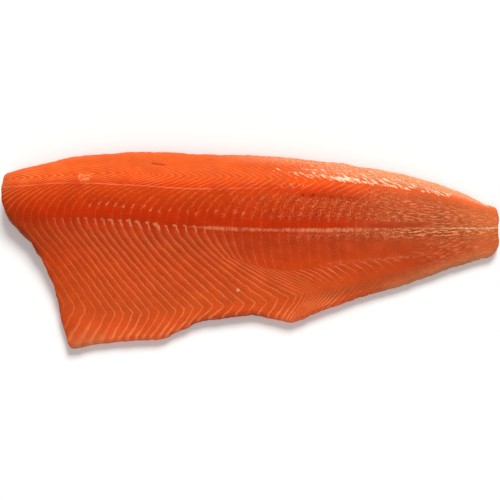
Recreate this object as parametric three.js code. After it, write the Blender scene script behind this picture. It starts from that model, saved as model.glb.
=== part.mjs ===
// Raw salmon fillet: one trimmed side of the fish without skin, lying flat with its inner face up.
// Millimetres, +Z up. While it is being shaped, X runs from the head cut towards the tail and Y from
// the midline, where the backbone lay, towards the back. At the end it is moved over its own centre.
import * as THREE from "three";

// Outline seen from above, as [x, y]
const HEAD_BELLY_CORNER = [91, -131];
const HEAD_BACK_CORNER = [4, 73];
const TAIL_BELLY_CORNER = [537, -26];
const TAIL_BACK_CORNER = [537, 35];
const HEAD_CUT = [
  HEAD_BELLY_CORNER,
  [84, -127],
  [76, -101],
  [69, -77],
  [57, -49],
  [47, -30],
  [34, -12],
  [15, 8],
  [4, 26],
  [0, 43],
  [0, 62],
  HEAD_BACK_CORNER,
];
const TAIL_CUT = [
  TAIL_BELLY_CORNER,
  [544, -18],
  [545, -5],
  [545, 5],
  [547, 17],
  [545, 29],
  TAIL_BACK_CORNER,
];
const BACK_EDGE = [
  HEAD_BACK_CORNER,
  [34, 82],
  [78, 93],
  [140, 98],
  [180, 98],
  [215, 96],
  [302, 93],
  [386, 83],
  [450, 71],
  [502, 53],
  TAIL_BACK_CORNER,
];
const BELLY_EDGE = [
  HEAD_BELLY_CORNER,
  [118, -126],
  [150, -123],
  [184, -121],
  [201, -112],
  [224, -102],
  [272, -95],
  [298, -98],
  [316, -103],
  [330, -99],
  [352, -89],
  [408, -69],
  [440, -60],
  [486, -42],
  TAIL_BELLY_CORNER,
];

// Two lines that run the length of the inner face, as [x, y]
const MIDLINE = [[0, 9], [150, 3], [285, -4], [435, -1], [547, 2]];
const RIDGE_LINE = [[0, 46], [80, 49], [150, 45], [215, 41], [310, 43], [400, 39], [470, 30], [547, 17]];

// Thickness along those lines and just inside the belly edge, as [x, height]
const RIDGE_HEIGHT = [[0, 25], [90, 30], [220, 31], [340, 28], [450, 21], [547, 12]];
const MIDLINE_HEIGHT = [[0, 18], [90, 20], [220, 20], [340, 18], [450, 15], [547, 11]];
const BELLY_HEIGHT = [[60, 6], [150, 7], [190, 8], [225, 10], [330, 10], [430, 9], [547, 8]];
const LOIN_BULGE = 0.45; // 0 leaves the loin flat between midline and ridge
const BACK_DROP = 0.3; // share of the ridge height lost on the way to the back edge
const BACK_BEND = 1.15; // 1 slopes evenly to the back edge, more drops faster near it

// Fineness of the faces
const STEPS_ALONG = 96;
const STEPS_ACROSS = 32;
const END_CROWDING = 0.9; // from 0, even rows, towards 1, rows crowded at both ends

// Each side's edge: how far in the rounding reaches, and the share of the thickness left at the outline
const ROUNDED_SIDES = [
  { outline: BELLY_EDGE, steps: STEPS_ALONG, reach: 4, share: 0.6 },
  { outline: TAIL_CUT, steps: STEPS_ACROSS, reach: 5, share: 0.6 },
  { outline: BACK_EDGE, steps: STEPS_ALONG, reach: 24, share: 0.34 },
  { outline: HEAD_CUT, steps: STEPS_ACROSS, reach: 7, share: 0.66 },
];

// Loops down the wall: the share of the rim's height, and the shares of length and width drawn in
const WALL_LOOPS = [
  { height: 0.4, along: 0.001, across: 0.003 },
  { height: 0, along: 0.006, across: 0.018 },
];

const FLESH = new THREE.MeshStandardMaterial({ color: 0xd2571f, roughness: 0.38, metalness: 0 });

const splineThrough = (points) => new THREE.SplineCurve(points.map(([x, y]) => new THREE.Vector2(x, y)));
const crowded = (t) => t - (END_CROWDING * Math.sin(2 * Math.PI * t)) / (2 * Math.PI);
const clamp01 = (t) => THREE.MathUtils.clamp(t, 0, 1);

// A smooth value at x through [x, value] pairs, level beyond both ends
function valueAlong(pairs, x) {
  const last = pairs.length - 1;
  const next = pairs.findIndex(([at]) => at > x);
  if (next === 0) return pairs[0][1];
  if (next === -1) return pairs[last][1];
  const [start, end] = [pairs[next - 1], pairs[next]];
  const slopeAt = (i) => {
    const [before, after] = [pairs[Math.max(i - 1, 0)], pairs[Math.min(i + 1, last)]];
    return (after[1] - before[1]) / (after[0] - before[0]);
  };
  const span = end[0] - start[0];
  const t = (x - start[0]) / span;
  const rise = t * t * (3 - 2 * t);
  const startBend = t * (1 - t) * (1 - t) * span * slopeAt(next - 1);
  const endBend = t * t * (t - 1) * span * slopeAt(next);
  return start[1] + (end[1] - start[1]) * rise + startBend + endBend;
}

// Thickness of the inner face over the flat underside, before the edges are rounded
function thicknessAt(x, y, bellyY, backY) {
  const midlineY = valueAlong(MIDLINE, x);
  const ridgeY = valueAlong(RIDGE_LINE, x);
  const ridge = valueAlong(RIDGE_HEIGHT, x);
  const midline = valueAlong(MIDLINE_HEIGHT, x);
  if (y < midlineY) {
    const up = clamp01((y - bellyY) / (midlineY - bellyY));
    return THREE.MathUtils.lerp(valueAlong(BELLY_HEIGHT, x), midline, up);
  }
  if (y < ridgeY) {
    const up = (y - midlineY) / (ridgeY - midlineY);
    return THREE.MathUtils.lerp(midline, ridge, up + LOIN_BULGE * up * (1 - up));
  }
  const over = clamp01((y - ridgeY) / (backY - ridgeY));
  return ridge * (1 - BACK_DROP * over ** BACK_BEND);
}

// A point of the plan between the four outline curves, u along the fillet and v across it
const [belly, tail, back, head] = ROUNDED_SIDES.map(({ outline }) => splineThrough(outline));
const corner = ([x, y]) => new THREE.Vector2(x, y);
function planPoint(u, v) {
  const along = belly.getPointAt(u).lerp(back.getPointAt(u), v);
  const across = head.getPointAt(v).lerp(tail.getPointAt(v), u);
  const bellyChord = corner(HEAD_BELLY_CORNER).lerp(corner(TAIL_BELLY_CORNER), u);
  const backChord = corner(HEAD_BACK_CORNER).lerp(corner(TAIL_BACK_CORNER), u);
  return along.add(across).sub(bellyChord.lerp(backChord, v));
}

// Distance from a point of the plan to a run of straight pieces
function distanceToRun(point, run) {
  const distances = run.slice(1).map((end, k) => {
    const piece = end.clone().sub(run[k]);
    const share = clamp01(point.clone().sub(run[k]).dot(piece) / piece.lengthSq());
    return run[k].clone().addScaledVector(piece, share).distanceTo(point);
  });
  return Math.min(...distances);
}

// The straight pieces of each side, between the points where the rows of faces end
const outlineRuns = ROUNDED_SIDES.map(({ outline, steps }) => {
  const curve = splineThrough(outline);
  return Array.from({ length: steps + 1 }, (_, k) => curve.getPointAt(crowded(k / steps)));
});

// Share of the thickness left by the rounded edges at a point of the plan
function edgeShare(point) {
  const shares = ROUNDED_SIDES.map(({ reach, share }, side) => {
    const inside = clamp01(distanceToRun(point, outlineRuns[side]) / reach);
    return share + (1 - share) * Math.sqrt(1 - (1 - inside) ** 2);
  });
  return Math.min(...shares);
}

// The outline's y on one edge, at a given x
function edgeY(points, x) {
  const next = points.findIndex((point) => point.x > x);
  if (next === 0) return points[0].y;
  if (next === -1) return points[points.length - 1].y;
  const [a, b] = [points[next - 1], points[next]];
  return THREE.MathUtils.mapLinear(x, a.x, b.x, a.y, b.y);
}

// The closed surface: inner face, wall and flat underside
function filletGeometry() {
  const [bellyRun, , backRun] = outlineRuns;
  const positions = [];
  const faces = [];
  const addPoint = (x, y, z) => positions.push(x, y, z) / 3 - 1;
  const addQuad = (a, b, c, d) => faces.push(a, b, c, a, c, d);

  // The inner face, a grid of rows along and columns across
  const grid = [];
  for (let i = 0; i <= STEPS_ALONG; i++) {
    const column = [];
    for (let j = 0; j <= STEPS_ACROSS; j++) {
      const point = planPoint(crowded(i / STEPS_ALONG), crowded(j / STEPS_ACROSS));
      const bellyY = edgeY(bellyRun, point.x);
      const backY = edgeY(backRun, point.x);
      const z = thicknessAt(point.x, point.y, bellyY, backY) * edgeShare(point);
      column.push(addPoint(point.x, point.y, z));
    }
    grid.push(column);
  }
  for (let i = 0; i < STEPS_ALONG; i++)
    for (let j = 0; j < STEPS_ACROSS; j++)
      addQuad(grid[i][j], grid[i + 1][j], grid[i + 1][j + 1], grid[i][j + 1]);

  // The rim, once round the outline: belly edge, tail cut, back edge, head cut
  const rim = [];
  for (let i = 0; i < STEPS_ALONG; i++) rim.push([i, 0]);
  for (let j = 0; j < STEPS_ACROSS; j++) rim.push([STEPS_ALONG, j]);
  for (let i = STEPS_ALONG; i > 0; i--) rim.push([i, STEPS_ACROSS]);
  for (let j = STEPS_ACROSS; j > 0; j--) rim.push([0, j]);

  // The wall, loop by loop down to the foot
  let foot = rim.map(([i, j]) => grid[i][j]);
  for (const { height, along, across } of WALL_LOOPS) {
    const upper = foot;
    foot = rim.map(([i, j]) => {
      const u = THREE.MathUtils.lerp(along, 1 - along, crowded(i / STEPS_ALONG));
      const v = THREE.MathUtils.lerp(across, 1 - across, crowded(j / STEPS_ACROSS));
      const point = planPoint(u, v);
      return addPoint(point.x, point.y, positions[3 * grid[i][j] + 2] * height);
    });
    for (let k = 0; k < rim.length; k++) {
      const next = (k + 1) % rim.length;
      addQuad(foot[k], foot[next], upper[next], upper[k]);
    }
  }

  // The flat underside
  const footOutline = foot.map((i) => new THREE.Vector2(positions[3 * i], positions[3 * i + 1]));
  for (const [a, b, c] of THREE.ShapeUtils.triangulateShape(footOutline, []))
    faces.push(foot[a], foot[c], foot[b]);

  const geometry = new THREE.BufferGeometry();
  geometry.setAttribute("position", new THREE.Float32BufferAttribute(positions, 3));
  geometry.setIndex(faces);
  geometry.computeVertexNormals();
  return geometry;
}

// The fillet, moved so that the origin is under the middle of its box
const fillet = new THREE.Mesh(filletGeometry(), FLESH);
fillet.name = "fillet";
fillet.geometry.computeBoundingBox();
const middle = fillet.geometry.boundingBox.getCenter(new THREE.Vector3());
fillet.position.set(-middle.x, -middle.y, 0);

const part = new THREE.Group();
part.add(fillet);

export default part;
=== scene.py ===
# Raw salmon fillet: the fine surface with its fat lines, and the floor, light and camera around it.
# The flesh is shaped in millimetres in a frame of its own, x from the head cut towards the tail and
# y from the midline, where the backbone lay, towards the back. At the end it is moved, in metres, to
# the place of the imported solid.
import math
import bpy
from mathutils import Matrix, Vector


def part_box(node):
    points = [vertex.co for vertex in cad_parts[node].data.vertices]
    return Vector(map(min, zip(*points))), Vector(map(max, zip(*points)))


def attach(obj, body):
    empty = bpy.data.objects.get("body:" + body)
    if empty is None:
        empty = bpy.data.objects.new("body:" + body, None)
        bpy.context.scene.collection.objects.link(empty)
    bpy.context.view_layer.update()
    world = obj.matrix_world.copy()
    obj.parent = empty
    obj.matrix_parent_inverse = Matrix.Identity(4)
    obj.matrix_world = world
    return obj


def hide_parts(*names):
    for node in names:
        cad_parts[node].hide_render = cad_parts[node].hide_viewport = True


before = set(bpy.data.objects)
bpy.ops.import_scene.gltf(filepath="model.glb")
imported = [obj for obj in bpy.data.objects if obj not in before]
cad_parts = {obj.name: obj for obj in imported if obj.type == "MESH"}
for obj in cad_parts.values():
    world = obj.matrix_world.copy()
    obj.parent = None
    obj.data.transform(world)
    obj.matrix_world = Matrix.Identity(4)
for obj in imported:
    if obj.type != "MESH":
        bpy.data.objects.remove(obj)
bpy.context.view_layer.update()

from types import SimpleNamespace

import bpy
import numpy as np
from mathutils import Vector

METRES = 0.001  # one millimetre


# Shapes: each makes a function that gives a share for the values of one measure
def ramp(low, high, first=0, second=1):
    """Smoothly from the first level at low to the second at high."""
    def share(value):
        t = np.clip((value - low) / (high - low), 0, 1)
        return first + (second - first) * t * t * (3 - 2 * t)
    return share


def stretch(starts, full, still_full, ends):
    rise = ramp(starts, full)
    fall = ramp(ends, still_full)
    return lambda value: rise(value) * fall(value)


def hump(middle, reach, top=1):
    return lambda value: top * np.exp(-(((value - middle) / reach) ** 2))


def edge(strength, reach):
    """Full strength at no distance, and less further away."""
    return lambda distance: strength * np.exp(-distance / reach)


def times(share):
    return lambda value: share * value


def less(share):
    return lambda value: 1 - share * value


def pieces(*pairs):
    """Straight pieces through (measure, share) pairs."""
    return lambda value: np.interp(value, *np.array(pairs, float).T)


def curve(*pairs):
    """A smooth curve through (measure, share) pairs, never below 0."""
    return lambda value: np.maximum(value_along(pairs, value), 0)


# Outline seen from above, as (x, y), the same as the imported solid's
HEAD_BELLY_CORNER = (91, -131)
HEAD_BACK_CORNER = (4, 73)
TAIL_BELLY_CORNER = (537, -26)
TAIL_BACK_CORNER = (537, 35)
HEAD_CUT = [HEAD_BELLY_CORNER, (84, -127), (76, -101), (69, -77), (57, -49), (47, -30), (34, -12),
            (15, 8), (4, 26), (0, 43), (0, 62), HEAD_BACK_CORNER]
TAIL_CUT = [TAIL_BELLY_CORNER, (544, -18), (545, -5), (545, 5), (547, 17), (545, 29), TAIL_BACK_CORNER]
BACK_EDGE = [HEAD_BACK_CORNER, (34, 82), (78, 93), (140, 98), (180, 98), (215, 96), (302, 93),
             (386, 83), (450, 71), (502, 53), TAIL_BACK_CORNER]
BELLY_EDGE = [HEAD_BELLY_CORNER, (118, -126), (150, -123), (184, -121), (201, -112), (224, -102),
              (272, -95), (298, -98), (316, -103), (330, -99), (352, -89), (408, -69), (440, -60),
              (486, -42), TAIL_BELLY_CORNER]

# Thickness over the flat underside, as (x, height), and the lines it is given along, as (x, y)
VALLEY_LINE = [(0, 9), (150, 3), (285, -4), (435, -1), (547, 2)]
RIDGE_LINE = [(0, 46), (80, 49), (150, 45), (215, 41), (310, 43), (400, 39), (470, 30), (547, 17)]
RIDGE_HEIGHT = [(0, 25), (90, 30), (220, 31), (340, 28), (450, 21), (547, 12)]
VALLEY_HEIGHT = [(0, 18), (90, 20), (220, 20), (340, 18), (450, 15), (547, 11)]
BELLY_HEIGHT = [(60, 6), (150, 7), (190, 8), (225, 10), (330, 10), (430, 9), (547, 8)]
BELLY_SLOPE_ENDS = (0, 1.3)  # how far each slope is followed, from its lower line at 0 to its upper at 1
LOIN_SLOPE_ENDS = (-0.6, 1.5)
LOIN_BULGE = 0.45
BACK_DROP = 0.3
BACK_BEND = 1.15
RIDGE_ROUNDING = [(0, 2), (240, 2), (330, 3), (450, 4), (547, 3)]  # as (x, height rounded off)
VALLEY_ROUNDING = 3

# Each side's edge: its outline, how far in the rounding reaches, the share of thickness left at the rim
ROUNDED_SIDES = [
    (BELLY_EDGE, 2, 0.8),
    (TAIL_CUT, 2.5, 0.75),
    (BACK_EDGE, 24, 0.34),
    (HEAD_CUT, 3, 0.8),
]
SIDE_SHARES = 0.3  # only points this near a side, as a share of the way to the opposite one, feel it
FAR = 1000.0  # the distance to a side that the other points get

# Loops down the wall: the share of the rim's height, and the shares of length and width drawn in
WALL_LOOPS = [(0.4, 0, 0), (0, 0.001, 0.003)]

# Unevenness: the shortest swell and the range above it, as shares of the length asked for
SWELL_COUNT = 9
SHORTEST_SWELL = 0.6
SWELL_RANGE = 0.9
RAGGED_SWELLS = [(31, 0.5), (13, 0.3), (5, 0.16)]  # of the cut edges, as (length, size)
RAGGED_SEEDS = (10, 20)  # along and across
RAGGED_REACH = 5
FACE_SWELLS = [(55, 0.28), (17, 0.12)]  # of the inner face
FACE_SEED = 1

# Fineness of the surface
STEPS_ALONG = 472
STEPS_ACROSS = 176
UNDERSIDE_STEP = 4  # the flat underside keeps every fourth row
CROWDING_ALONG = 0.3  # from 0, even rows, towards 1, rows crowded at both ends
CROWDING_ACROSS = 0.45
CURVE_STEPS = 4000  # for measuring along a curve
CHUNKS = 40  # points are compared with a curve in chunks, to save memory
SHARP_ANGLE = 50  # degrees; edges that are less sharp look smooth

# Where the fat lines meet the midline and where they fold, as (x, y)
MIDLINE = [(0, 9), (69, 9), (107, 8.5), (153, 5), (172, 1.5), (210, -0.4), (274, -3.3), (344, -3.1),
           (409, -1.6), (480, 0.9), (547, 2.2)]
BELLY_FOLD = [(60, -80), (90, -88), (122, -94), (160, -95), (197, -92), (227, -88), (270, -85),
              (313, -78), (332, -73), (371, -65), (445, -43), (547, -14)]
BACK_FOLD = [(0, 57), (75, 59.5), (130, 61.5), (200, 57.5), (250, 57), (284, 56), (310, 54), (350, 53),
             (400, 50), (450, 45), (489, 39), (547, 25)]

# Course of one fat line, by the x at which it crosses the midline. A shift is in millimetres along
# the fillet, a lean in millimetres along for each millimetre across.
LINE_PITCH = [(-60, 8.7), (44, 8.7), (110, 9), (145, 10), (260, 10.1), (380, 10.5), (547, 9)]
FIRST_LINE = 97
FOLD_SHIFT = [(-40, 56), (18, 71), (44, 78), (97, 81), (145, 81), (194, 85), (220, 90), (240, 87),
              (262, 76), (290, 58), (320, 42), (350, 30), (400, 23), (547, 16)]
EARLY_HOLD = edge(0.8, 0.2)  # how upright a line starts, by its share of the way to the fold
SLOW_SHARE = 0.12  # the share of its shift that a line makes before its sweep
LATE_BEND = [(150, 0), (200, 0.1), (270, 1), (547, 1)]  # 1 runs straight down first, then sweeps
SWEEP_START = [(240, 0.4), (255, 0.44), (280, 0.52), (310, 0.6), (350, 0.62), (400, 0.64), (450, 0.68)]
SWEEP_BEND = [(240, 0.9), (270, 0.8), (320, 0.65), (400, 0.6)]  # 1 sweeps straight, less curves down
BELLY_LEAN = [(10, 0.42), (70, 0.5), (100, 0.66), (130, 0.85), (160, 1.6), (190, 1.3), (220, 0.95),
              (250, 0.95), (290, 1.1), (350, 1.5), (400, 1.8), (547, 2.2)]
RIDGE_SHIFT = [(-40, 38), (60, 37), (150, 32), (220, 28), (547, 20)]
RIDGE_BEND = 2.5  # 1 runs straight from the midline to the ridge, more starts out upright
RIDGE_LEAN = [(0, 3), (60, 2.9), (120, 2.1), (200, 1.8), (260, 1.4), (400, 1.6)]
RIDGE_BOW = 0.2  # how much a line curves between the ridge and the back fold
BACK_LEAN = [(-40, -4.6), (20, -4.3), (80, -3.2), (200, -2.9), (260, -2.4), (300, -1.9), (340, -1.6),
             (547, -1.5)]
BELLY_ROUNDING = 7  # how gently a line turns at each fold
BACK_ROUNDING = [(100, 14), (220, 10), (320, 4)]
BACK_TURN = 0.35  # the share of its lean that a line has right at the back fold

# How the fat line through a place is found
CROSSINGS = (-300, 800)  # the range of x over which lines are counted
CROSSING_STEPS = 4400
FIRST_ROUNDS = 40
PROBE = 0.25  # how far off a second look is taken, in millimetres, for the spacing of the lines
PROBE_ROUNDS = 8
LEAST_CHANGE = 1e-6
PITCH_LIMITS = (1, 12)

# Places of single features, in the shaping frame
LEDGE_LINE = [(340, -45), (359, -42), (391, -38), (435, -33), (457, -28), (479, -23)]
SLIT = [(164, 75.3), (181, 72.5)]  # its two ends
SPECK = (261.1, -70.5)  # one small raised speck on the belly, with a painted glint
WET_FROM = [(350, 2.03), (375, 1.93), (430, 1.95), (465, 1.95), (480, 1.92)]  # station by x
TORN_PATCH = (92, 57.5)  # its middle
TORN_SIZE = (7, 6.5)  # half its length and width
TORN_SQUARENESS = 3
TORN_CORE = 1.3
TORN_EDGE = {"length": 5, "seed": 4}
TORN_EDGE_SIZE = 0.35
TORN_RIM = ramp(0, 0.5)
TORN_HEIGHTS = ramp(5, 0, 0.3, 1)  # how much of it shows, by the height above its middle
PIT_SWELLS = {"length": 9, "seed": 5}
PIT_MEAN = 0.8
PIT_CHANGE = 0.3

# A look is a product of shapes, each over one measure of a place: x, crossing (the x at which its fat
# line crosses the midline), side, crease and off_fold (millimetres above the midline, the ridge and the
# belly fold), to_head and to_belly (millimetres from those edges), other features by name, and station
# across the fillet: -2 belly edge, -1 belly fold, 0 midline, 1 ridge, 2 back fold, 3 back edge.

# Features that several looks share, each with the ones that it uses before it
FEATURES = {
    "tail": [("x", ramp(385, 460))],
    "tail_band": [("side", hump(-4.5, 3.2)), ("x", stretch(390, 425, 528, 548))],
    # a groove above the midline towards the tail, shown only by painted shade and less grain
    "tail_groove": [("side", hump(4, 4)), ("x", stretch(385, 410, 455, 490))],
    # frosty grain along the back edge, partly a painted sheen
    "tail_frost": [("station", ramp(2.1, 2.5)), ("x", ramp(300, 380))],
    "rim_frost": [("station", ramp(2.4, 2.8, 0, 0.9)), ("x", ramp(210, 330))],
    # the wet band along the back fold, where the dashes are painted highlights and get a coat
    "wet": [("x", pieces((290, 0), (303, 0.3), (333, 0.5), (348, 1), (435, 1), (444, 0.7), (450, 1),
                         (457, 0.6), (466, 1), (486, 1), (496, 0.3), (504, 0))),
            ("above_dry", ramp(0, 0.12)), ("station", ramp(2.15, 2.5, 1, 0.25))],
    # painted glints along the ridge crease
    "glints": [("crease", hump(3.5, 2)), ("x", stretch(300, 312, 328, 345))],
    "speck": [("off_speck", hump(0, 1.2))],
    "midline_groove": [("side", hump(-1.5, 4))],
    "ridge_groove": [("crease", hump(-8, 3.5)), ("x", stretch(312, 335, 392, 412))],
    "ledge": [("x", stretch(335, 365, 430, 480)), ("below_ledge", ramp(-4, 3)),
              ("under_ledge", edge(1, 14))],
    "ledge_top": [("x", stretch(335, 365, 430, 475)), ("below_ledge", hump(0, 3))],
    "beside_ledge": [("ledge", pieces((0, 1), (0.8, 0.04)))],
    "slit": [("off_slit", hump(0, 1)), ("along_slit", stretch(-0.1, 0.25, 0.75, 1.1))],
    "pits": [("x", pieces((322, 0), (333, 1), (352, 1), (368, 0.8), (385, 0.6), (400, 0))),
             ("crease", hump(-8, 2.3)), ("off_line", hump(0, 1.7))],
    "belly": [("side", ramp(0, -4))],
    "low": [("below_fold", ramp(5, 40))],
    "swept": [("crossing", ramp(225, 275)), ("belly", times(1))],
    "above_sweep": [("crossing", ramp(225, 340)), ("belly", times(1)), ("past_start", ramp(0.08, -0.02)),
                    ("side", ramp(-3, -9))],
    "belly_end": [("swept", times(1)), ("x", ramp(355, 400)), ("beside_ledge", times(1))],
    "head_fade": [("to_head", edge(1, 26)), ("station", ramp(0.3, -0.1))],
    "head_back": [("x", ramp(130, 60)), ("station", ramp(1, 1.2))],
    "fold_gap": [("crossing", ramp(238, 262)), ("belly", times(1)), ("off_fold", hump(2, 10))],
}

# Relief in millimetres
BANDS = [  # between the fat lines, over the loin and over the belly
    [("station", ramp(1.1, 0.8, 0, 0.16)), ("side", ramp(0, -6, 1, 0))],
    [("side", ramp(0, -6, 0, 0.1))],
]
CLEAR_BANDS = [("pitch", ramp(3, 6)), ("tail", less(1)), ("to_belly", ramp(0, 8))]
STRIPE_RISE = 0.14
RISES = {"midline_groove": -0.4, "ridge_groove": -0.3, "ledge": 0.5, "slit": -0.7, "pits": -0.5,
         "speck": 0.3}
TORN_RISE = 0.5
TORN_SWELLS = {"length": 4, "seed": 3}

# Broad colour of the flesh by station, with light and shade painted into it, and the tints laid over it,
# each with the looks that add up to it
# Partly the flesh's own colour and partly painted light and shade: lighter on the back slope, which
# faces the light, and darker red on the loin slope, which faces away
FLESH_AND_SHADE_ACROSS = [(-2, "d14e1d"), (-1.4, "cf4b1b"), (-1, "c54a1a"), (-0.5, "bd3b0c"), (-0.15, "ae340c"),
                (0, "b93006"), (0.3, "c22e02"), (0.6, "c53706"), (0.85, "cc3e0a"), (1, "cf3a06"),
                (1.2, "d63c04"), (1.6, "e44b06"), (3, "e85e20")]
TAIL_AND_SHADE_ACROSS = [(-2, "b04822"), (-1, "b23a10"), (-0.1, "b04a24"), (0.1, "b94e28"), (0.8, "c4522c"),
               (1.1, "cf5226"), (1.6, "d75424"), (2, "dc5c2a"), (2.5, "de7440"), (3, "e08a5a")]
TAIL_SHARE = ramp(340, 480)  # by x
TAIL_END_PALE = "ea743a"  # close to the tail cut
FOLD_BROWN_AND_CUT_SHADE = "9a4420"  # a dull brown along the belly fold towards the tail, and painted shade at the loin's end of the head cut
CUT_SHADE_BROWN = "8a2c0a"  # painted shade along the head cut, a little along the belly edge, and down the walls, which face away from the light
RIM_TAN = "c88456"  # along the belly edge, at the tail and at the head corner
TINTS = [
    (TAIL_END_PALE, [
        [("x", ramp(480, 540, 0, 0.55)), ("station", ramp(-0.8, 0, 0.7, 1))],
    ]),
    (FOLD_BROWN_AND_CUT_SHADE, [
        [("off_fold", hump(-7, 6.5, 0.6)), ("x", stretch(325, 365, 445, 490))],
        # painted shade at the loin's end of the head cut, where the flesh rounds down away from the
        # light
        [("to_head", edge(0.75, 10)), ("station", ramp(0.5, 0.95)), ("station", ramp(2, 2.8, 1, 0.4))],
    ]),
    (CUT_SHADE_BROWN, [
        [("to_head", edge(0.9, 13)), ("station", ramp(0.9, 0.2)),
         ("station", ramp(-0.25, -0.6, 1, 0.4))],
        [("to_belly", edge(0.2, 2.5)), ("x", stretch(200, 225, 280, 300))],
    ]),
    (RIM_TAN, [
        [("to_belly", edge(0.5, 4.5)), ("x", ramp(395, 435))],
        [("to_belly", edge(0.4, 7)), ("x", ramp(150, 95))],
    ]),
]
WALL_SHADE = pieces((190, 0.1), (215, 0.5), (285, 0.5), (310, 0.1), (515, 0.1), (535, 0))  # painted shade down the walls, by x
HOLLOW_SHADE_RED = "8c1602"  # painted shade in the slit, the pits and the grooves
FAT = "f99e64"
PALE_FAT = "e6946a"
BACK_FROST_AND_SHEEN = "f1b58a"  # the frosty grain along the back edge with a painted sheen, and the painted glints on the ridge
HIGHLIGHT_AND_PALEST_FAT = "fad2a6"  # painted highlights on the wet dashes along the back, the painted glint on the speck, and the palest fat of the stroke near the tail

# Values for the material, each with the looks that add up to it
LOOKS = {
    "line_strength": [
        [("station", pieces((-2, 0.42), (-1.5, 0.36), (-1, 0.3), (-0.6, 0.26), (-0.2, 0.17),
                            (-0.05, 0.1), (0.1, 0.08), (0.35, 0.14), (0.7, 0.23), (0.95, 0.27),
                            (1.2, 0.3), (1.9, 0.32), (2.3, 0.25), (2.6, 0.17), (3, 0.08)))],
        [("to_head", edge(0.2, 16)), ("station", ramp(0.55, 0.85))],
        [("ledge", times(0.25))],
        [("swept", times(0.15)), ("past_start", hump(0.08, 0.08))],
    ],
    "line_width": [
        [("station", pieces((-1, 1.05), (-0.25, 1), (-0.1, 1.4), (-0.02, 1.1), (0.1, 0.9), (3, 0.9))),
         ("swept", less(0.2))],
        [("low", times(0.95))],
    ],
    "line_spread": [[("low", times(2.2))]],  # how much wider a line is on its head side
    "painted_band_light": [  # painted light on its head side, as on shingles lit from one side
        [("station", pieces((-1, 0), (-0.6, 0.11), (-0.2, 0.17), (-0.08, 0.1), (0, 0))),
         ("crossing", ramp(285, 210)), ("to_head", ramp(15, 70, 0.25, 1))],
    ],
    "line_breaks": [
        [("side", ramp(0, 5)), ("crease", ramp(2, -3)), ("x", ramp(10, 110))],
        [("above_sweep", times(0.8))],
    ],
    "mark_size": [[("x", curve((48, 0), (66, 0.45), (105, 0.6), (125, 0.85), (168, 1), (190, 0.8),
                               (215, 0.7), (235, 0)))]],
    "mark_strength": [[("x", pieces((60, 0.2), (110, 0.34), (150, 0.55)))]],
    "squiggles": [[("x", stretch(80, 110, 260, 305))]],
    "stroke_width": [[("x", curve((203, 0), (228, 2.3), (250, 3), (300, 2.4), (330, 2.9), (400, 2.8),
                                  (420, 1.3), (547, 1.2)))]],
    "stroke_strength": [[("x", curve((190, 0.3), (240, 0.43), (300, 0.4), (330, 0.5), (400, 0.48),
                                     (425, 0.35), (470, 0.6), (490, 1), (547, 1)))]],
    "stroke_pale": [[("x", ramp(465, 500, 0, 0.45))]],
    "crease_strength": [[("x", ramp(330, 230, 0, 0.4))]],
    "rough": [  # over the loin, over the tail, under the midline's stroke, on the belly and on the ledge
        [("x", pieces((60, 0.05), (230, 0.15), (300, 0.5), (350, 1))), ("side", ramp(7, 15)),
         ("crease", ramp(-5, -10))],
        [("x", ramp(375, 430)), ("tail_side", times(1)), ("station", ramp(1.8, 1.5)),
         ("tail_groove", less(1))],
        [("side", hump(-6, 4)), ("x", ramp(300, 340))],
        [("side", ramp(-4, -9, 0, 0.12)), ("to_fold", ramp(0.55, 0.4)),
         ("x", stretch(240, 290, 400, 440))],
        [("ledge_top", times(0.4))],
    ],
    "grain_paleness": [[("tail", pieces((0, 0.45), (1, 0.68)))], [("tail_band", times(0.45))]],
    "flow": [[("station", times(22))]],  # across the streaks of the tail, in millimetres
    "moist": [[("station", ramp(0.6, 0.3, 0, 0.08))]],
    # painted shade in the slit, the pits and the grooves
    "hollow_shade": [[("slit", times(0.8))], [("pits", times(0.75))], [("ridge_groove", times(0.2))],
               [("tail_groove", times(0.25))]],
}
PLAIN_LOOKS = {"line_count": "count", "line_pitch": "pitch", "along": "x", "side": "side",
               "crease": "crease", "tail": "tail", "torn": "torn", "wet": "wet", "glints": "glints",
               "speck": "speck"}
LINE_FADES = [("head_back", less(-0.5)), ("head_fade", less(0.6)), ("fold_gap", less(0.85)),
              ("above_sweep", less(0.6)), ("belly_end", less(0.9)), ("tail", less(0.9)),
              ("pitch", ramp(1, 3))]
TAIL_SIDE = ramp(-12, -5)  # where the tail is torn, by side
LOW_TAIL = ramp(440, 490, 0, 0.5)  # and below that, by x
WIDEST_LINE = 0.32  # as a share of the space between two lines
FAINT_ON_WALLS = ("line_strength", "painted_band_light", "rough")
FAINTNESS = 0.3

# Noise in the material: the scale in swells per metre, and per millimetre for streaks and dashes
WAVER = {"scale": 110, "detail": 3, "reach": 0.4}  # of the fat lines; these three reach in lines
CROOKED = {"scale": 320, "detail": 3, "reach": 0.55}
TREMBLE = {"scale": 330, "detail": 2, "reach": 0.16}
LINE_EDGE = {"scale": 700, "detail": 2, "reach": 0.8}  # these four reach in millimetres
MARK_EDGE = {"scale": 650, "detail": 3, "reach": 3.2}
SQUIGGLE_EDGE = {"scale": 600, "detail": 2, "reach": 3}
STROKE_EDGE = {"scale": 420, "detail": 2, "reach": 2.4}
LINE_GAPS = {"scale": 190, "detail": 2, "span": (0.56, 0.44)}
LINE_PATCHES = {"scale": 70, "detail": 3, "span": (0.32, 0.65), "levels": (0.5, 1.2)}
STROKE_BEADS = {"scale": 380, "detail": 1, "squeeze": (1, 0.3, 1), "span": (0.35, 0.6),
                "levels": (0.3, 1.2)}
STREAKS = {"scale": 0.85, "detail": 3, "squeeze": (0.16, 1, 1), "span": (0.46, 0.62)}
FROST_GRAIN = {"scale": 560, "detail": 2, "span": (0.38, 0.6), "levels": (0.15, 1)}
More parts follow.
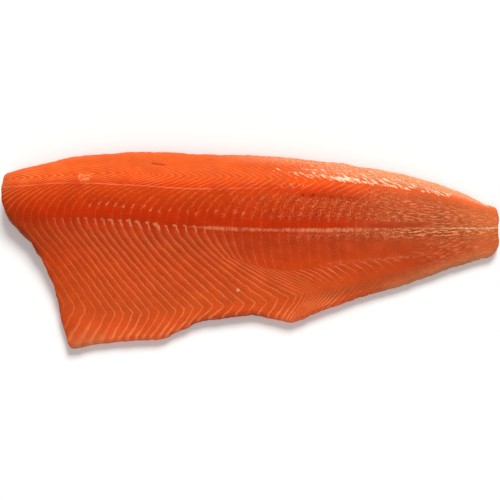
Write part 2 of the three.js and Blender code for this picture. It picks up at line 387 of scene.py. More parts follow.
GLINT_SPOTS = {"scale": 450, "detail": 2, "span": (0.53, 0.62)}
TORN_SPOTS = {"scale": 420, "detail": 3, "span": (0.4, 0.62), "levels": (0.04, 0.6)}
SPECKS = {"scale": 620, "detail": 2}
BROAD_DASHES = {"scale": 0.2, "detail": 2, "squeeze": (1, 0.8, 1)}
FINE_DASHES = {"scale": 0.5, "detail": 2, "squeeze": (1, 0.35, 1)}
MOTTLE = {"scale": 60, "detail": 4}
FINE_MOTTLE = {"scale": 900, "detail": 2}

# Shapes in the material, in millimetres. A softness is (where a mark begins, where it is full) as shares
# of its size, and a chance (least, range) for a value that changes from line to line.
LINE_SOFTNESS = (1, 0.05)
GAP_DEPTH = 0.75
BAND_LIGHT_SPAN = (0.3, 1)  # of the space between two lines, over which the painted light on each band rises
MARK = SimpleNamespace(seed=0, size_chance=(0.75, 0.5), drop_chance=(-0.4, 1.6), fade=(0, 0.3))
HOOK = SimpleNamespace(aside_chance=(0.6, 1.8), squeeze=0.7, rise=0.8, softness=(2.2, 1))
FOOT = SimpleNamespace(raggedness=0.7, softness=(1.8, 0.6), top=(1.5, 0), end=(-8, -2))
SQUIGGLE = SimpleNamespace(seed=50, drop_chance=(-18, 4), squeeze=0.5, span=(1.4, 0.4), levels=(0.3, 1),
                           strength=0.48)
STROKE = SimpleNamespace(waver=2, softness=(1, 0.3))  # a waver is for each line that the fat lines waver
CREASE = SimpleNamespace(waver=4, span=(1.1, 0.1), breaks=(0.35, 0.6), levels=(0.3, 1))
SPECKLE = SimpleNamespace(rows=(3.8, 0.6), levels=(0.35, 1), span=(0.46, 0.62))
STREAK = SimpleNamespace(breaks=(0.35, 0.6), levels=(0.4, 1))
DASH = SimpleNamespace(pitch=10, start=0.62, wetter=0.17, rise=0.07, wet_span=(0, 0.15),
                       span=(0.48, 0.62), levels=(0.35, 1), coat=0.4)  # noise from start on shows; the dashes are painted highlights and get a coat
FROST = SimpleNamespace(stripes=(1, -0.5), levels=(0.75, 1), strength=0.75)
GLINT_STRENGTH = 0.7
SPECK_STRENGTH = 0.8
GRAIN_SHADE = 0.11  # how dark the flesh is between the grain
TONE_SPAN = (0.3, 0.7)
MOTTLE_TONES = (0.92, 1.08)
FINE_TONES = (0.9, 1.1)
MOTTLE_ROUGHNESS = (0.45, 0.55)

# Fine relief in the material, in millimetres
HEIGHT = SimpleNamespace(grain=0.35, fine=0.12, frost_and_sheen=0.15, marks=0.5, stripes=-0.1, dashes=0.6)

# Stage
KEY_LIGHT = {"azimuth": 14, "elevation": 42, "spread": 28, "strength": 3}
FILL_LIGHT = {"azimuth": 195, "elevation": 35, "spread": 50, "strength": 1.3}
WORLD_STRENGTH = 0.25
FLOOR_COLOUR = "f6f5f3"
FLOOR_SIZE = 60  # metres
FLOOR_LEVEL = -0.0002

# Camera, in metres in the frame
CAMERA_TARGET = Vector((0.00023, -0.00573, 0.008))
CAMERA_DISTANCE = 1.053
CAMERA_AZIMUTH = 180
CAMERA_ELEVATION = 66
CAMERA_LENS = 70


def linear(hex_colour):
    """A hex colour as linear red, green and blue."""
    shares = np.array([int(hex_colour[i:i + 2], 16) for i in (0, 2, 4)]) / 255
    return np.where(shares <= 0.04045, shares / 12.92, ((shares + 0.055) / 1.055) ** 2.4)


def waves(x, y, length, seed):
    """Smooth seeded unevenness between about -1 and 1, with swells about one length long."""
    random = np.random.default_rng(seed)
    total = np.zeros_like(x)
    for heading, longer, start in random.random((SWELL_COUNT, 3)):
        turn = 2 * math.pi * heading
        wave_length = length * (SHORTEST_SWELL + SWELL_RANGE * longer)
        run = (x * math.cos(turn) + y * math.sin(turn)) / wave_length
        total += np.sin(2 * math.pi * (run + start))
    return total / math.sqrt(SWELL_COUNT)


def spline(points, shares):
    """Points on the smooth curve through the given ones, at shares of their count."""
    given = np.array(points, float)
    last = len(given) - 1
    place = np.clip(shares, 0, 1) * last
    piece = np.minimum(place.astype(int), last - 1)
    t = (place - piece)[:, None]
    before, start, end, after = (given[np.clip(piece + step, 0, last)] for step in (-1, 0, 1, 2))
    leave = (end - before) / 2
    arrive = (after - start) / 2
    cubic = 2 * start - 2 * end + leave + arrive
    square = 3 * end - 3 * start - 2 * leave - arrive
    return cubic * t**3 + square * t**2 + leave * t + start


def spaced(points, shares):
    """Points on that curve at shares of its length."""
    fine = spline(points, np.linspace(0, 1, CURVE_STEPS + 1))
    run = np.concatenate([[0], np.cumsum(np.linalg.norm(np.diff(fine, axis=0), axis=1))])
    return np.stack([np.interp(shares * run[-1], run, axis) for axis in fine.T], -1)


def value_along(pairs, x):
    """A smooth value at x through (x, value) pairs, level beyond both ends."""
    at, value = np.array(pairs, float).T
    index = np.arange(len(at))
    before = np.maximum(index - 1, 0)
    after = np.minimum(index + 1, len(at) - 1)
    slope = (value[after] - value[before]) / (at[after] - at[before])
    x = np.clip(x, at[0], at[-1])
    k = np.clip(np.searchsorted(at, x, side="right") - 1, 0, len(at) - 2)
    span = at[k + 1] - at[k]
    t = (x - at[k]) / span
    rise = (value[k + 1] - value[k]) * t * t * (3 - 2 * t)
    bend = t * (1 - t) ** 2 * slope[k] + t * t * (t - 1) * slope[k + 1]
    return value[k] + rise + bend * span


def crowded(steps, crowding):
    t = np.linspace(0, 1, steps + 1)
    return t - crowding * np.sin(2 * math.pi * t) / (2 * math.pi)


def plan(along, across):
    """Points of the plan between the four outline curves, for matching shares along and across."""
    u = along[:, None]
    v = across[:, None]
    between_edges = spaced(BELLY_EDGE, along) * (1 - v) + spaced(BACK_EDGE, along) * v
    between_cuts = spaced(HEAD_CUT, across) * (1 - u) + spaced(TAIL_CUT, across) * u
    corners = [np.array(p) for p in
               (HEAD_BELLY_CORNER, TAIL_BELLY_CORNER, HEAD_BACK_CORNER, TAIL_BACK_CORNER)]
    belly_chord = corners[0] * (1 - u) + corners[1] * u
    back_chord = corners[2] * (1 - u) + corners[3] * u
    return between_edges + between_cuts - belly_chord * (1 - v) - back_chord * v


def rounded_least(first, second, rounding):
    """The lesser of two heights, rounded off where they cross."""
    share = np.clip(0.5 + 0.5 * (second - first) / rounding, 0, 1)
    return second * (1 - share) + first * share - rounding * share * (1 - share)


def thickness(x, y, belly_y, back_y):
    """Height of the inner face before its edges are rounded."""
    valley_y = value_along(VALLEY_LINE, x)
    ridge_y = value_along(RIDGE_LINE, x)
    ridge = value_along(RIDGE_HEIGHT, x)
    valley = value_along(VALLEY_HEIGHT, x)
    belly = value_along(BELLY_HEIGHT, x)
    up_belly = np.clip((y - belly_y) / (valley_y - belly_y), *BELLY_SLOPE_ENDS)
    up_loin = np.clip((y - valley_y) / (ridge_y - valley_y), *LOIN_SLOPE_ENDS)
    over = np.clip((y - ridge_y) / (back_y - ridge_y), -1, 1)
    belly_slope = belly + (valley - belly) * up_belly
    loin = valley + (ridge - valley) * (up_loin + LOIN_BULGE * up_loin * (1 - up_loin))
    back = ridge * (1 - BACK_DROP * np.sign(over) * np.abs(over) ** BACK_BEND)
    upper = -rounded_least(-belly_slope, -loin, VALLEY_ROUNDING)
    return rounded_least(upper, back, value_along(RIDGE_ROUNDING, x))


def distance_to_run(points, run):
    """Distance from each point of the plan to a run of straight pieces."""
    start = run[:-1]
    piece = np.diff(run, axis=0)
    length_squared = (piece**2).sum(1)
    nearest = []
    for chunk in np.array_split(points, CHUNKS):
        offset = chunk[:, None] - start
        share = np.clip((offset * piece).sum(2) / length_squared, 0, 1)
        gap = offset - share[..., None] * piece
        nearest.append(np.sqrt((gap**2).sum(2).min(1)))
    return np.concatenate(nearest)


def side_distances(points, along, across, runs):
    """Distance to the belly edge, tail cut, back edge and head cut, far where it doesn't matter."""
    distances = []
    for away, run in zip((across, 1 - along, 1 - across, along), runs):
        near = away < SIDE_SHARES
        distance = np.full(len(points), FAR)
        distance[near] = distance_to_run(points[near], run)
        distances.append(distance)
    return distances


def edge_share(distances):
    """Share of the thickness left by the rounded edges."""
    least = np.ones(len(distances[0]))
    for (_, reach, share), distance in zip(ROUNDED_SIDES, distances):
        inside = np.clip(distance / reach, 0, 1)
        least = np.minimum(least, share + (1 - share) * np.sqrt(1 - (1 - inside) ** 2))
    return least


def ragged(points, distances):
    """How far each point is moved to make the cut edges uneven."""
    x, y = points.T
    push = np.zeros_like(points)
    for swell, (length, size) in enumerate(RAGGED_SWELLS):
        push += size * np.stack([waves(x, y, length, seed + swell) for seed in RAGGED_SEEDS], -1)
    nearest = np.min(distances, axis=0)
    return push * np.exp(-nearest / RAGGED_REACH)[:, None]


def survey(x, y, belly_y, back_y):
    """Where each point lies among the lines that run the length of the fillet."""
    middle = value_along(MIDLINE, x)
    ridge = value_along(RIDGE_LINE, x)
    belly_fold = value_along(BELLY_FOLD, x)
    back_fold = value_along(BACK_FOLD, x)
    at = SimpleNamespace(x=x, y=y)
    at.side = y - middle
    at.crease = y - ridge
    at.to_fold = np.clip((middle - y) / (middle - belly_fold), 0, 1)
    at.off_fold = y - belly_fold
    at.below_fold = np.maximum(-at.off_fold, 0)
    at.to_ridge = np.clip((y - middle) / (ridge - middle), 0, 1)
    at.ridge_width = back_fold - ridge
    at.over_ridge = np.clip((y - ridge) / at.ridge_width, 0, 1)
    at.above_fold = np.maximum(y - back_fold, 0)
    low_share = np.clip(at.below_fold / np.maximum(belly_fold - belly_y, 1), 0, 1)
    high_share = np.clip(at.above_fold / np.maximum(back_y - back_fold, 1), 0, 1)
    at.station = at.to_ridge + at.over_ridge + high_share - at.to_fold - low_share
    return at


def shift_to_fold(crossing, at):
    """Share of its shift to the belly fold that a fat line has made at the given places."""
    early = at.to_fold * (1 - EARLY_HOLD(at.to_fold))
    start = value_along(SWEEP_START, crossing)
    sweep = np.clip((at.to_fold - start) / (1 - start), 0, 1) ** value_along(SWEEP_BEND, crossing)
    late = SLOW_SHARE * np.minimum(at.to_fold / start, 1) ** 2 + (1 - SLOW_SHARE) * sweep
    return early + (late - early) * value_along(LATE_BEND, crossing)


def line_shift(crossing, at):
    """How far along a fat line lies from its crossing of the midline, at the given places."""
    over = at.ridge_width * at.over_ridge * (1 + RIDGE_BOW - RIDGE_BOW * at.over_ridge)
    low = at.below_fold**2 / (at.below_fold + BELLY_ROUNDING)
    turned = at.above_fold / (at.above_fold + value_along(BACK_ROUNDING, crossing))
    high = at.above_fold * (BACK_TURN + (1 - BACK_TURN) * turned)
    return (value_along(FOLD_SHIFT, crossing) * shift_to_fold(crossing, at)
            - value_along(BELLY_LEAN, crossing) * low
            + value_along(RIDGE_SHIFT, crossing) * at.to_ridge**RIDGE_BEND
            + value_along(RIDGE_LEAN, crossing) * over
            + value_along(BACK_LEAN, crossing) * high)


def line_crossing(at, guess, rounds):
    """The x at which the fat line through each place crosses the midline, found in rounds."""
    crossing = guess
    for _ in range(rounds):
        crossing = (crossing + at.x - line_shift(crossing, at)) / 2
    return crossing


def line_number(crossing):
    """Number of the fat line: whole on a line, in between halfway to the next."""
    x = np.linspace(*CROSSINGS, CROSSING_STEPS + 1)
    count = np.concatenate([[0], np.cumsum(np.diff(x) / value_along(LINE_PITCH, x[1:]))])
    return np.interp(crossing, x, count - np.interp(FIRST_LINE, x, count))


def fat_lines(x, y, belly_y, back_y):
    """Survey of the points with the number of the fat line and the spacing of the lines there."""
    at = survey(x, y, belly_y, back_y)
    at.crossing = line_crossing(at, x, FIRST_ROUNDS)
    at.count = line_number(at.crossing)
    along = line_crossing(survey(x + PROBE, y, belly_y, back_y), at.crossing, PROBE_ROUNDS)
    across = line_crossing(survey(x, y + PROBE, belly_y, back_y), at.crossing, PROBE_ROUNDS)
    change = np.hypot(line_number(along) - at.count, line_number(across) - at.count)
    at.pitch = np.clip(PROBE / np.maximum(change, LEAST_CHANGE), *PITCH_LIMITS)
    at.off_line = (at.count - np.round(at.count)) * at.pitch
    at.past_start = at.to_fold - value_along(SWEEP_START, at.crossing)
    return at


def shown(at, look):
    """The share in which a look shows: the product of its shapes."""
    share = 1
    for measure, shape in look:
        share = share * shape(getattr(at, measure))
    return share


def added(at, looks):
    return sum(shown(at, look) for look in looks)


def mark_features(at):
    """Adds measures from single features, and the shares, from 0 to 1, in which each feature shows."""
    (x_start, y_start), (x_end, y_end) = SLIT
    at.along_slit = (at.x - x_start) / (x_end - x_start)
    at.off_slit = at.y - (y_start + at.along_slit * (y_end - y_start))
    at.off_speck = np.hypot(at.x - SPECK[0], at.y - SPECK[1])
    at.below_ledge = value_along(LEDGE_LINE, at.x) - at.y
    at.under_ledge = np.maximum(at.below_ledge, 0)
    at.above_dry = at.station - pieces(*WET_FROM)(at.x)
    at.tail_side = np.maximum(TAIL_SIDE(at.side), LOW_TAIL(at.x))
    for name, look in FEATURES.items():
        setattr(at, name, shown(at, look))
    at.pits = np.clip(at.pits * (PIT_MEAN + PIT_CHANGE * waves(at.x, at.y, **PIT_SWELLS)), 0, 1)
    at.torn = torn_patch(at)


def torn_patch(at):
    """1 inside the small torn patch on the back, with an uneven edge, and less towards its top."""
    inside = TORN_CORE + TORN_EDGE_SIZE * waves(at.x, at.y, **TORN_EDGE)
    for value, middle, half in zip((at.x, at.y), TORN_PATCH, TORN_SIZE):
        inside -= np.abs((value - middle) / half) ** TORN_SQUARENESS
    return TORN_RIM(inside) * TORN_HEIGHTS(at.y - TORN_PATCH[1])


def relief(at):
    """Fine height added to the smooth inner face."""
    band = np.sin(math.pi * at.count) ** 2
    height = band * (added(at, BANDS) * shown(at, CLEAR_BANDS) + STRIPE_RISE * at.wet)
    for seed, (length, size) in enumerate(FACE_SWELLS, FACE_SEED):
        height += size * waves(at.x, at.y, length, seed)
    for name, rise in RISES.items():
        height += rise * getattr(at, name)
    return height + TORN_RISE * at.torn * waves(at.x, at.y, **TORN_SWELLS)


def filled(colours, station):
    """The colour at each station, in linear light."""
    stations = [key for key, _ in colours]
    shades = np.array([linear(colour) for _, colour in colours])
    return np.stack([np.interp(station, stations, shade) for shade in shades.T], -1)


def tinted(colour, tint, share):
    return colour * (1 - share[:, None]) + linear(tint) * share[:, None]


def shaded_flesh_colour(at):
    """Broad colour of the flesh, without its fat lines, with painted light on the back slope and painted
    shade on the loin slope and by the cuts.
    """
    tail = TAIL_SHARE(at.x)[:, None]
    colour = filled(FLESH_AND_SHADE_ACROSS, at.station) * (1 - tail) + filled(TAIL_AND_SHADE_ACROSS, at.station) * tail
    for tint, looks in TINTS:
        colour = tinted(colour, tint, added(at, looks))
    return colour


def material_values(at):
    """Values for the material at each point, by name."""
    values = {name: getattr(at, measure) for name, measure in PLAIN_LOOKS.items()}
    for name, looks in LOOKS.items():
        values[name] = added(at, looks)
    values["line_strength"] *= shown(at, LINE_FADES)
    values["line_width"] = np.minimum(values["line_width"], WIDEST_LINE * at.pitch)
    values["rough"] = np.clip(values["rough"], 0, 1) * (1 - at.pits)
    values["hollow_shade"] = np.clip(values["hollow_shade"], 0, 1)
    values["back_grain_and_sheen"] = np.maximum(at.tail_frost, at.rim_frost)
    return values


def drawn_in(shares, inset):
    return inset + (1 - 2 * inset) * shares


def inner_face(rows, columns, along, across):
    """The inner face's points, with where each one lies on the fillet."""
    runs = [spaced(outline, shares) for (outline, _, _), shares in
            zip(ROUNDED_SIDES, (along, across, along, across))]
    places = plan(along[rows], across[columns])
    distances = side_distances(places, along[rows], across[columns], runs)
    x, y = places.T
    belly_y = np.interp(x, *runs[0].T)
    back_y = np.interp(x, *runs[2].T)
    at = fat_lines(x, y, belly_y, back_y)
    at.to_belly, _, _, at.to_head = distances
    mark_features(at)
    height = (thickness(x, y, belly_y, back_y) + relief(at)) * edge_share(distances)
    return np.column_stack([places + ragged(places, distances), height]), at


def flesh_mesh():
    """Points and faces of the closed surface, the inner-face point above each, and its survey."""
    along = crowded(STEPS_ALONG, CROWDING_ALONG)
    across = crowded(STEPS_ACROSS, CROWDING_ACROSS)
    rows, columns = np.indices((STEPS_ALONG + 1, STEPS_ACROSS + 1)).reshape(2, -1)
    number = np.arange(len(rows)).reshape(STEPS_ALONG + 1, STEPS_ACROSS + 1)

    # The inner face
    face, at = inner_face(rows, columns, along, across)
    points = [face]
    above = [number.ravel()]
    quads = [number[:-1, :-1], number[1:, :-1], number[1:, 1:], number[:-1, 1:]]
    faces = np.stack([corner.ravel() for corner in quads], 1).tolist()

    def lowered(chosen, share, along_inset, across_inset):
        u = along[rows[chosen]]
        v = across[columns[chosen]]
        shift = plan(drawn_in(u, along_inset), drawn_in(v, across_inset)) - plan(u, v)
        return face[chosen] * [1, 1, share] + np.pad(shift, ((0, 0), (0, 1)))

    # The wall, loop by loop from the rim down to the foot
    rim = np.concatenate([number[:-1, 0], number[-1, :-1], number[:0:-1, -1], number[0, :0:-1]])
    foot = rim
    total = len(rows)
    for loop in WALL_LOOPS:
        upper = foot
        foot = total + np.arange(len(rim))
        total += len(rim)
        points.append(lowered(rim, *loop))
        above.append(rim)
        faces += np.stack([foot, np.roll(foot, -1), np.roll(upper, -1), upper], 1).tolist()

    # The flat underside, coarser, with the foot's points along its border
    inner = number[::UNDERSIDE_STEP, ::UNDERSIDE_STEP][1:-1, 1:-1].ravel()
    points.append(lowered(inner, *WALL_LOOPS[-1]))
    above.append(inner)
    under = dict(zip(rim.tolist(), foot.tolist()))
    under.update(zip(inner.tolist(), range(total, total + len(inner))))
    for i in range(0, STEPS_ALONG, UNDERSIDE_STEP):
        for j in range(0, STEPS_ACROSS, UNDERSIDE_STEP):
            i_end = i + UNDERSIDE_STEP
            j_end = j + UNDERSIDE_STEP
            loop = [*number[i, j:j_end], *number[i:i_end, j_end], *number[i_end, j_end:j:-1],
                    *number[i_end:i:-1, j]]
            faces.append([under[k] for k in loop if k in under])
    return np.concatenate(points), faces, np.concatenate(above), at


def add_object(name, data):
    added_object = bpy.data.objects.new(name, data)
    bpy.context.scene.collection.objects.link(added_object)
    return added_object


def fillet_piece(material):
    """The fillet as an object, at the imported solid's place."""
    points, faces, above, at = flesh_mesh()
    low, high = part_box("fillet")
    middle = (points.max(0) + points.min(0)) / 2
    place = points - [middle[0], middle[1], 0]
    place = place * METRES + [(low.x + high.x) / 2, (low.y + high.y) / 2, low.z]
    mesh = bpy.data.meshes.new("salmon_fillet")
    mesh.from_pydata(place.tolist(), [], faces)
    on_wall = np.arange(len(points)) >= len(at.x)
    for name, values in material_values(at).items():
        layer = mesh.attributes.new(name, "FLOAT", "POINT")
        seen = values[above] * np.where(on_wall & (name in FAINT_ON_WALLS), FAINTNESS, 1)
        layer.data.foreach_set("value", seen.astype(np.float32))
    # Painted shade down the walls, which face away from the light
    wall_shade = WALL_SHADE(at.x[above]) * on_wall
    colour = np.column_stack([tinted(shaded_flesh_colour(at)[above], CUT_SHADE_BROWN, wall_shade), np.ones(len(points))])
    mesh.color_attributes.new("flesh", "FLOAT_COLOR", "POINT").data.foreach_set("color", colour.ravel())
    mesh.shade_smooth()
    mesh.set_sharp_from_angle(angle=math.radians(SHARP_ANGLE))
    mesh.materials.append(material)
    return add_object("salmon_fillet", mesh)


class Shader:
    """Short calls that make and link the nodes of one material."""

    def __init__(self, name):
        self.material = bpy.data.materials.new(name)
        self.material.use_nodes = True
        self.tree = self.material.node_tree
        self.tree.nodes.clear()

    def node(self, kind, inputs, **settings):
        node = self.tree.nodes.new("ShaderNode" + kind)
        for name, value in settings.items():
            setattr(node, name, value)
        for name, value in inputs.items():
            self.feed(node.inputs[name], value)
        return node

    def feed(self, socket, value):
        if isinstance(value, bpy.types.NodeSocket):
            self.tree.links.new(value, socket)
        else:
            socket.default_value = value

    def math(self, operation, *values):
        inputs = dict(enumerate(values))
        return self.node("Math", inputs, operation=operation).outputs[0]

    def product(self, first, *others):
        for other in others:
            first = self.math("MULTIPLY", first, other)
        return first

    def total(self, first, *others):
        for other in others:
            first = self.math("ADD", first, other)
        return first

    def length(self, first, second):
        return self.math("SQRT", self.total(self.math("POWER", first, 2), self.math("POWER", second, 2)))

    def rest(self, share):
        return self.math("SUBTRACT", 1, share)

    def varied(self, chance, least, reach):
        return self.total(self.product(chance, reach), least)

    def scaled(self, softness, size):
        return [self.product(size, share) for share in softness]

    def attribute(self, name, output="Fac"):
        return self.node("Attribute", {}, attribute_name=name).outputs[output]

    def step(self, span, value, levels=(0, 1)):
        """From the first level to the second as the value goes through the span."""
        inputs = {"Value": value, "From Min": span[0], "From Max": span[1],
                  "To Min": levels[0], "To Max": levels[1]}
        return self.node("MapRange", inputs, interpolation_type="SMOOTHSTEP").outputs["Result"]

    def noise(self, vector, scale, detail, squeeze=(1, 1, 1)):
        squeezed = self.node("Mapping", {"Vector": vector, "Scale": squeeze}).outputs[0]
        inputs = {"Vector": squeezed, "Scale": scale, "Detail": detail}
        return self.node("TexNoise", inputs).outputs["Fac"]

    def spots(self, vector, span, levels=(0, 1), **noise):
        """Noise turned into spots, from the first level to the second within the span."""
        return self.step(span, self.noise(vector, **noise), levels)

    def sway(self, vector, reach, **noise):
        """Noise between about minus and plus half the reach."""
        return self.product(self.math("SUBTRACT", self.noise(vector, **noise), 0.5), reach)

    def blend(self, share, first, second):
        node = self.node("Mix", {}, data_type="RGBA")
        self.feed(node.inputs["Factor"], share)
        self.feed(node.inputs[6], first)
        self.feed(node.inputs[7], second)
        return node.outputs[2]


def rgba(hex_colour):
    return (*linear(hex_colour), 1)


def wavering_lines(s, place):
    """The fat lines with their waver: the number, the offset from the nearest one, and their stripes."""
    lines = SimpleNamespace(waver=s.sway(place, **WAVER))
    crooked = s.product(s.sway(place, **CROOKED), s.attribute("line_breaks"))
    lines.count = s.total(s.attribute("line_count"), lines.waver, crooked, s.sway(place, **TREMBLE))
    off = s.math("SUBTRACT", lines.count, s.math("ROUND", lines.count))
    lines.offset = s.product(off, s.attribute("line_pitch"))
    lines.stripes = s.math("COSINE", s.product(lines.count, 2 * math.pi))
    return lines


def fat_line_share(s, place, lines):
    """How much each place belongs to a fat line: soft, ragged, and broken over the loin."""
    spread = s.total(s.attribute("line_spread"), 1)
    head_side = s.math("DIVIDE", s.product(lines.offset, -1), spread)
    distance = s.total(s.math("MAXIMUM", lines.offset, head_side), s.sway(place, **LINE_EDGE))
    line = s.step(s.scaled(LINE_SOFTNESS, s.attribute("line_width")), distance)
    gaps = s.product(s.spots(place, **LINE_GAPS), s.attribute("line_breaks"), GAP_DEPTH)
    return s.product(line, s.attribute("line_strength"), s.spots(place, **LINE_PATCHES), s.rest(gaps))


def painted_band_light(s, lines):
    """Painted light: paler flesh on the head side of each fat line, as on shingles lit from one side."""
    return s.product(s.step(BAND_LIGHT_SPAN, s.math("FRACT", lines.count)), s.attribute("painted_band_light"))


def line_chances(s, lines, seed):
    """Three values between 0 and 1 that change from one fat line to the next."""
    number = s.total(s.math("ROUND", lines.count), seed)
    chance = s.node("TexWhiteNoise", {"W": number}, noise_dimensions="1D").outputs["Color"]
    return s.node("SeparateColor", {"Color": chance}).outputs


def pin_bone_marks(s, place, lines):
    """Ragged commas where the fat lines meet the midline: a hook, and a foot down along the line."""
    aside_chance, drop_chance, size_chance = line_chances(s, lines, MARK.seed)
    size = s.product(s.attribute("mark_size"), s.varied(size_chance, *MARK.size_chance))
    over = s.total(s.attribute("side"), s.varied(drop_chance, *MARK.drop_chance))
    ragged_edge = s.sway(place, **MARK_EDGE)
    aside = s.total(lines.offset, s.varied(aside_chance, *HOOK.aside_chance))
    hook_gap = s.length(s.product(aside, HOOK.squeeze), s.total(over, -HOOK.rise))
    hook = s.step(s.scaled(HOOK.softness, size), s.total(hook_gap, ragged_edge))
    foot_gap = s.total(s.math("ABSOLUTE", lines.offset), s.product(ragged_edge, FOOT.raggedness))
    foot = s.step(s.scaled(FOOT.softness, size), foot_gap)
    foot = s.product(foot, s.step(FOOT.top, over), s.step(FOOT.end, over))
    mark = s.product(s.math("MAXIMUM", hook, foot), s.step(MARK.fade, size))
    return s.product(mark, s.attribute("mark_strength"))


def loin_squiggles(s, place, lines):
    """Short bright squiggles on the fat lines over the middle of the loin."""
    drop_chance, strength_chance, _ = line_chances(s, lines, SQUIGGLE.seed)
    over = s.total(s.attribute("side"), s.varied(drop_chance, *SQUIGGLE.drop_chance))
    gap = s.length(lines.offset, s.product(over, SQUIGGLE.squeeze))
    squiggle = s.step(SQUIGGLE.span, s.total(gap, s.sway(place, **SQUIGGLE_EDGE)))
    strength = s.product(s.step((0, 1), strength_chance, SQUIGGLE.levels), SQUIGGLE.strength)
    return s.product(squiggle, s.attribute("squiggles"), strength)


def midline_stroke(s, place, lines):
    """The beaded pale stroke along the midline towards the tail."""
    sway = s.total(s.product(lines.waver, STROKE.waver), s.sway(place, **STROKE_EDGE))
    off = s.math("ABSOLUTE", s.total(s.attribute("side"), sway))
    stroke = s.step(s.scaled(STROKE.softness, s.attribute("stroke_width")), off)
    return s.product(stroke, s.spots(place, **STROKE_BEADS), s.attribute("stroke_strength"))


def ridge_crease(s, lines, mottle):
    """The thin broken pale line along the ridge."""
    off = s.math("ABSOLUTE", s.total(s.attribute("crease"), s.product(lines.waver, CREASE.waver)))
    broken = s.step(CREASE.breaks, mottle, CREASE.levels)
    return s.product(s.step(CREASE.span, off), broken, s.attribute("crease_strength"))


def torn_grain(s, place, lines):
    """Pale specks in rows along the fat lines, and streaks along the fish towards the tail."""
    specks = s.noise(place, **SPECKS)
    rows = s.step(SPECKLE.rows, s.math("ABSOLUTE", lines.offset), SPECKLE.levels)
    speckle = s.product(s.step(SPECKLE.span, specks), rows)
    flow = s.node("CombineXYZ", {"X": s.attribute("along"), "Y": s.attribute("flow")}).outputs[0]
    streaks = s.product(s.spots(flow, **STREAKS), s.step(STREAK.breaks, specks, STREAK.levels))
    mixed = s.total(speckle, s.product(s.attribute("tail"), s.math("SUBTRACT", streaks, speckle)))
    return s.product(mixed, s.attribute("rough"))


def back_frost_and_sheen(s, place, lines):
    """The frosty grain along the back edge, partly a painted sheen, a little stronger between the fat
    lines.
    """
    stripes = s.step(FROST.stripes, lines.stripes, FROST.levels)
    return s.product(s.spots(place, **FROST_GRAIN), stripes, s.attribute("back_grain_and_sheen"))


def wet_dashes(s, lines):
    """Noise drawn out along the fat lines, broad and fine in equal parts, for the wet dashes."""
    arc = {"X": s.product(lines.count, DASH.pitch), "Y": s.attribute("side")}
    place = s.node("CombineXYZ", arc).outputs[0]
    return s.product(s.total(s.noise(place, **BROAD_DASHES), s.noise(place, **FINE_DASHES)), 0.5)


def highlight_dashes(s, dashes):
    """The dashes painted as highlights, which also get a coat, more of them where it is wetter."""
    wet = s.attribute("wet")
    start = s.math("SUBTRACT", DASH.start, s.product(wet, DASH.wetter))
    clear = s.product(s.step((start, s.total(start, DASH.rise)), dashes), s.step(DASH.wet_span, wet))
    return s.product(clear, s.step(DASH.span, dashes, DASH.levels))


def toned_flesh(s, mottle, fine, grain):
    """The broad colour with its mottling, darker between the torn grain."""
    between = s.product(s.math("SUBTRACT", s.attribute("rough"), grain), GRAIN_SHADE)
    tones = (s.step(TONE_SPAN, mottle, MOTTLE_TONES), s.step(TONE_SPAN, fine, FINE_TONES))
    inputs = {0: s.attribute("flesh", "Color"), 1: s.product(*tones, s.rest(between))}
    return s.node("VectorMath", inputs, operation="MULTIPLY").outputs[0]


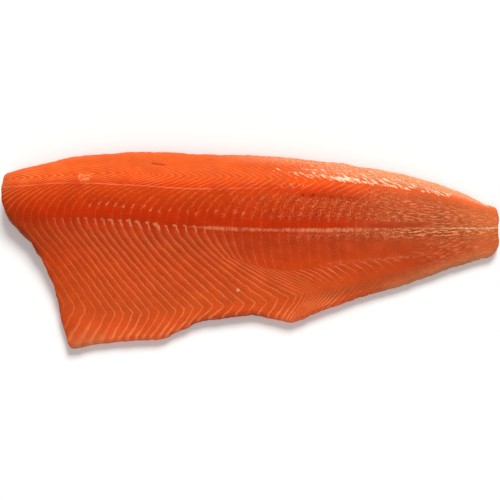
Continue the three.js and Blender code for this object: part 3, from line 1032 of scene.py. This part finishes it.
def flesh_material():
    """Moist orange flesh with pale fat lines, pin-bone marks and torn fibre, and painted highlights,
    sheen, light and shade.
    """
    s = Shader("flesh")
    place = s.node("TexCoord", {}).outputs["Object"]
    lines = wavering_lines(s, place)
    mottle = s.noise(place, **MOTTLE)
    fine = s.noise(place, **FINE_MOTTLE)
    grain = torn_grain(s, place, lines)
    frost_and_sheen = back_frost_and_sheen(s, place, lines)
    marks = pin_bone_marks(s, place, lines)
    squiggles = loin_squiggles(s, place, lines)
    stroke = midline_stroke(s, place, lines)
    dashes = wet_dashes(s, lines)
    highlights = highlight_dashes(s, dashes)

    # Colour, one layer over the other; some layers are painted light, highlights, sheen and shade
    # Painted glints along the ridge crease
    glints = s.product(s.spots(place, **GLINT_SPOTS), s.attribute("glints"), GLINT_STRENGTH)
    pale_end = s.product(stroke, s.attribute("stroke_pale"))
    speck = s.product(s.attribute("speck"), SPECK_STRENGTH)
    layers = [
        (s.product(grain, s.attribute("grain_paleness")), FAT),
        # the frosty grain with its painted sheen, and the painted glints
        (s.total(s.product(frost_and_sheen, FROST.strength), glints), BACK_FROST_AND_SHEEN),
        (s.product(s.attribute("torn"), s.spots(place, **TORN_SPOTS)), FAT),
        # painted light on each band, and the fat lines
        (s.total(painted_band_light(s, lines), fat_line_share(s, place, lines)), FAT),
        (s.total(ridge_crease(s, lines, mottle), squiggles), FAT),
        (s.math("MAXIMUM", stroke, marks), PALE_FAT),
        # painted highlights on the wet dashes, the palest fat of the stroke, and the painted glint on
        # the speck
        (s.total(highlights, pale_end, speck), HIGHLIGHT_AND_PALEST_FAT),
        # painted shade in the hollows
        (s.attribute("hollow_shade"), HOLLOW_SHADE_RED),
    ]
    colour = toned_flesh(s, mottle, fine, grain)
    for share, tint in layers:
        colour = s.blend(share, colour, rgba(tint))

    # Fine relief: grain everywhere, and the stripes and dashes where it is wet
    raised = s.total(s.product(grain, HEIGHT.grain), s.product(fine, HEIGHT.fine),
                     s.product(frost_and_sheen, HEIGHT.frost_and_sheen),
                     s.product(s.total(marks, stroke, squiggles), HEIGHT.marks))
    waved = s.total(s.product(lines.stripes, HEIGHT.stripes), s.product(dashes, HEIGHT.dashes))
    height = s.total(raised, s.product(waved, s.attribute("wet")))
    bump = s.node("Bump", {"Height": height, "Strength": 1, "Distance": METRES}).outputs[0]
    skin = s.node("BsdfPrincipled", {
        "Base Color": colour,
        "Roughness": s.step(TONE_SPAN, mottle, MOTTLE_ROUGHNESS),
        "Normal": bump,
        "Specular IOR Level": 0.03,
        "Coat Weight": s.total(s.product(highlights, DASH.coat), s.attribute("moist")),
        "Coat Roughness": 0.18,
        "Coat Normal": bump,
        "Subsurface Weight": 0.06,
        "Subsurface Radius": (1.0, 0.3, 0.1),
        "Subsurface Scale": 0.0015,
    })
    s.node("OutputMaterial", {"Surface": skin.outputs[0]})
    return s.material


def floor_material():
    s = Shader("floor")
    plain = s.node("BsdfPrincipled", {"Base Color": rgba(FLOOR_COLOUR), "Roughness": 0.9,
                                      "Specular IOR Level": 0.1})
    s.node("OutputMaterial", {"Surface": plain.outputs[0]})
    return s.material


def make_floor():
    half = FLOOR_SIZE / 2
    corners = [(-half, -half), (half, -half), (half, half), (-half, half)]
    mesh = bpy.data.meshes.new("floor")
    mesh.from_pydata([(x, y, FLOOR_LEVEL) for x, y in corners], [], [(0, 1, 2, 3)])
    mesh.materials.append(floor_material())
    add_object("floor", mesh)


def towards(azimuth, elevation):
    """Direction from the object, azimuth 0 at the back and 90 towards the tail."""
    a = math.radians(azimuth)
    e = math.radians(elevation)
    return Vector((math.sin(a) * math.cos(e), math.cos(a) * math.cos(e), math.sin(e)))


def turn(thing, back):
    """Turns a lamp or a camera so that its back points in the given direction."""
    thing.rotation_mode = "QUATERNION"
    thing.rotation_quaternion = back.to_track_quat("Z", "Y")


def add_sun(name, azimuth, elevation, spread, strength):
    """A soft light from far away, as wide as its spread in degrees."""
    light = bpy.data.lights.new(name, "SUN")
    light.energy = strength
    light.angle = math.radians(spread)
    turn(add_object(name, light), towards(azimuth, elevation))


def make_light():
    add_sun("key", **KEY_LIGHT)
    add_sun("fill", **FILL_LIGHT)
    world = bpy.data.worlds.new("studio")
    world.use_nodes = True
    background = world.node_tree.nodes["Background"].inputs
    background["Strength"].default_value = WORLD_STRENGTH
    background["Color"].default_value = (1, 1, 1, 1)
    bpy.context.scene.world = world
    bpy.context.scene.view_settings.view_transform = "Standard"


def make_camera():
    data = bpy.data.cameras.new("camera")
    data.lens = CAMERA_LENS
    camera = add_object("camera", data)
    back = towards(CAMERA_AZIMUTH, CAMERA_ELEVATION)
    camera.location = CAMERA_TARGET + back * CAMERA_DISTANCE
    turn(camera, back)
    bpy.context.scene.camera = camera


fillet = fillet_piece(flesh_material())
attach(fillet, "root")
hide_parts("fillet")
make_floor()
make_light()
make_camera()
